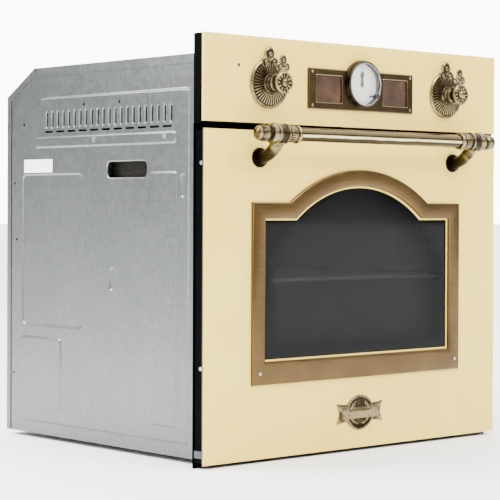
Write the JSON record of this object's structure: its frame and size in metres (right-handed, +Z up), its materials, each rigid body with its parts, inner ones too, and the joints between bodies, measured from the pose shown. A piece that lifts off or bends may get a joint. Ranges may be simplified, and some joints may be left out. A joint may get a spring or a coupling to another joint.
{
  "type": "built-in wall oven",
  "caption": "Built-in electric wall oven: ivory drop-down door with an arched bronze-trimmed window, bar handle, two knobs and an analogue clock, in a galvanised housing.",
  "frame": {"origin": "underside of the base pan, in the middle of the width, in the plane where the front frame's back meets the cabinet's front edge", "axes": "+X to the right as the user faces the oven, +Y back into the cabinet, +Z up; the door faces -Y"},
  "size_m": [0.595, 0.5785, 0.5925],
  "materials": {
    "galvanised_steel": "galvanised sheet, faint spangle",
    "ivory_enamel": "gloss ivory enamel",
    "black_enamel": "black enamel",
    "cavity_enamel": "dark easy-clean enamel",
    "antique_bronze": "antique bronze, polished high spots",
    "bezel_bronze": "brushed brown bronze",
    "dark_glass": "tinted toughened glass",
    "clear_glass": "clear glass",
    "chromed_wire": "chromed wire",
    "stainless_steel": "stainless steel",
    "heater_sheath": "dark oxidised heater tube",
    "glass_wool": "pale glass wool",
    "black_plastic": "moulded plastic",
    "white_ceramic": "ceramic and white plastic",
    "dial_white": "printed white dial",
    "amber_panel": "brown lacquered panel",
    "silicone_rope": "grey braided seal",
    "red_lens": "moulded lens"
  },
  "bodies": {
    "housing": {"base_pan": "galvanised_steel", "blower_housing": "galvanised_steel", "blower_motor": "galvanised_steel", "bottom_element": "heater_sheath", "cable_gland": "black_plastic", "cavity_shell": "cavity_enamel", "clock_dial": "dial_white", "clock_glass": "clear_glass", "clock_movement": "black_plastic", "clock_plate": "bezel_bronze", "clock_ring": "antique_bronze", "clock_windows": "amber_panel", "control_fascia": "ivory_enamel", "door_gasket": "silicone_rope", "fan_baffle": "cavity_enamel", "fan_motor": "galvanised_steel", "front_frame": "black_enamel", "grill_element": "heater_sheath", "hinge_arms": "stainless_steel", "housing_screws": "stainless_steel", "indicator_lens": "red_lens", "insulation": "glass_wool", "lamp_bulb": "clear_glass", "lamp_glass": "clear_glass", "lamp_holder": "white_ceramic", "panel_carrier": "black_enamel", "rear_panel": "galvanised_steel", "ring_element": "heater_sheath", "selector_switch": "galvanised_steel", "side_panel_left": "galvanised_steel", "side_panel_right": "galvanised_steel", "side_racks": "chromed_wire", "terminal_block": "white_ceramic", "thermostat_body": "galvanised_steel", "top_cover": "galvanised_steel"},
    "door": {"door_skin": "ivory_enamel", "door_channels": "black_enamel", "door_rails": "black_enamel", "door_liner": "black_enamel", "inner_glass": "clear_glass", "window_glass": "dark_glass", "window_bezel": "bezel_bronze", "door_badge": "antique_bronze", "handle_bar": "antique_bronze", "handle_ends": "antique_bronze", "handle_brackets": "antique_bronze", "door_screws": "stainless_steel", "hinge_cases": "stainless_steel", "hinge_pins": "stainless_steel"},
    "selector": {"selector_knob": "antique_bronze", "selector_shaft": "stainless_steel"},
    "thermostat": {"thermostat_knob": "antique_bronze", "thermostat_shaft": "stainless_steel"},
    "clock_setting_knob": {"clock_setter": "black_plastic"},
    "minute_pointer": {"minute_hand": "black_plastic"},
    "hour_pointer": {"hour_hand": "black_plastic"},
    "convection_fan": {"fan_wheel": "stainless_steel"},
    "cooling_fan": {"blower_drum": "stainless_steel"},
    "shelf": {"wire_shelf": "chromed_wire"},
    "tray": {"baking_tray": "cavity_enamel"}
  },
  "joints": [
    {"name": "door_hinge", "type": "hinge", "parent": "housing", "child": "door", "pos_m": [0, -0.015, 0.004], "axis": [1, 0, 0], "range_deg": [0, 90], "stiffness_Nm_per_rad": 6, "springref_deg": -17.19},
    {"name": "selector_turn", "type": "hinge", "parent": "housing", "child": "selector", "pos_m": [-0.1815, -0.023, 0.52], "axis": [0, 1, 0], "continuous": true},
    {"name": "thermostat_turn", "type": "hinge", "parent": "housing", "child": "thermostat", "pos_m": [0.1815, -0.023, 0.52], "axis": [0, 1, 0], "range_deg": [0, 270]},
    {"name": "clock_setting", "type": "hinge", "parent": "housing", "child": "clock_setting_knob", "pos_m": [0.017, -0.023, 0.511], "axis": [0, 1, 0], "continuous": true},
    {"name": "minute_hand_turn", "type": "hinge", "parent": "housing", "child": "minute_pointer", "pos_m": [0, -0.023, 0.528], "axis": [0, 1, 0], "continuous": true},
    {"name": "hour_hand_turn", "type": "hinge", "parent": "housing", "child": "hour_pointer", "pos_m": [0, -0.023, 0.528], "axis": [0, 1, 0], "continuous": true},
    {"name": "convection_fan_spin", "type": "hinge", "parent": "housing", "child": "convection_fan", "pos_m": [0, 0.4, 0.245], "axis": [0, 1, 0], "continuous": true},
    {"name": "cooling_fan_spin", "type": "hinge", "parent": "housing", "child": "cooling_fan", "pos_m": [0, 0.33, 0.5], "axis": [1, 0, 0], "continuous": true},
    {"name": "shelf_slide", "type": "slide", "parent": "housing", "child": "shelf", "axis": [0, -1, 0], "range_m": [-0.009, 0.019]},
    {"name": "tray_slide", "type": "slide", "parent": "housing", "child": "tray", "axis": [0, -1, 0], "range_m": [-0.012, 0.022]}
  ],
  "couplings": [
    {"joint": "minute_hand_turn", "follows": "clock_setting", "ratio": 1},
    {"joint": "hour_hand_turn", "follows": "clock_setting", "ratio": 0.083333}
  ]
}
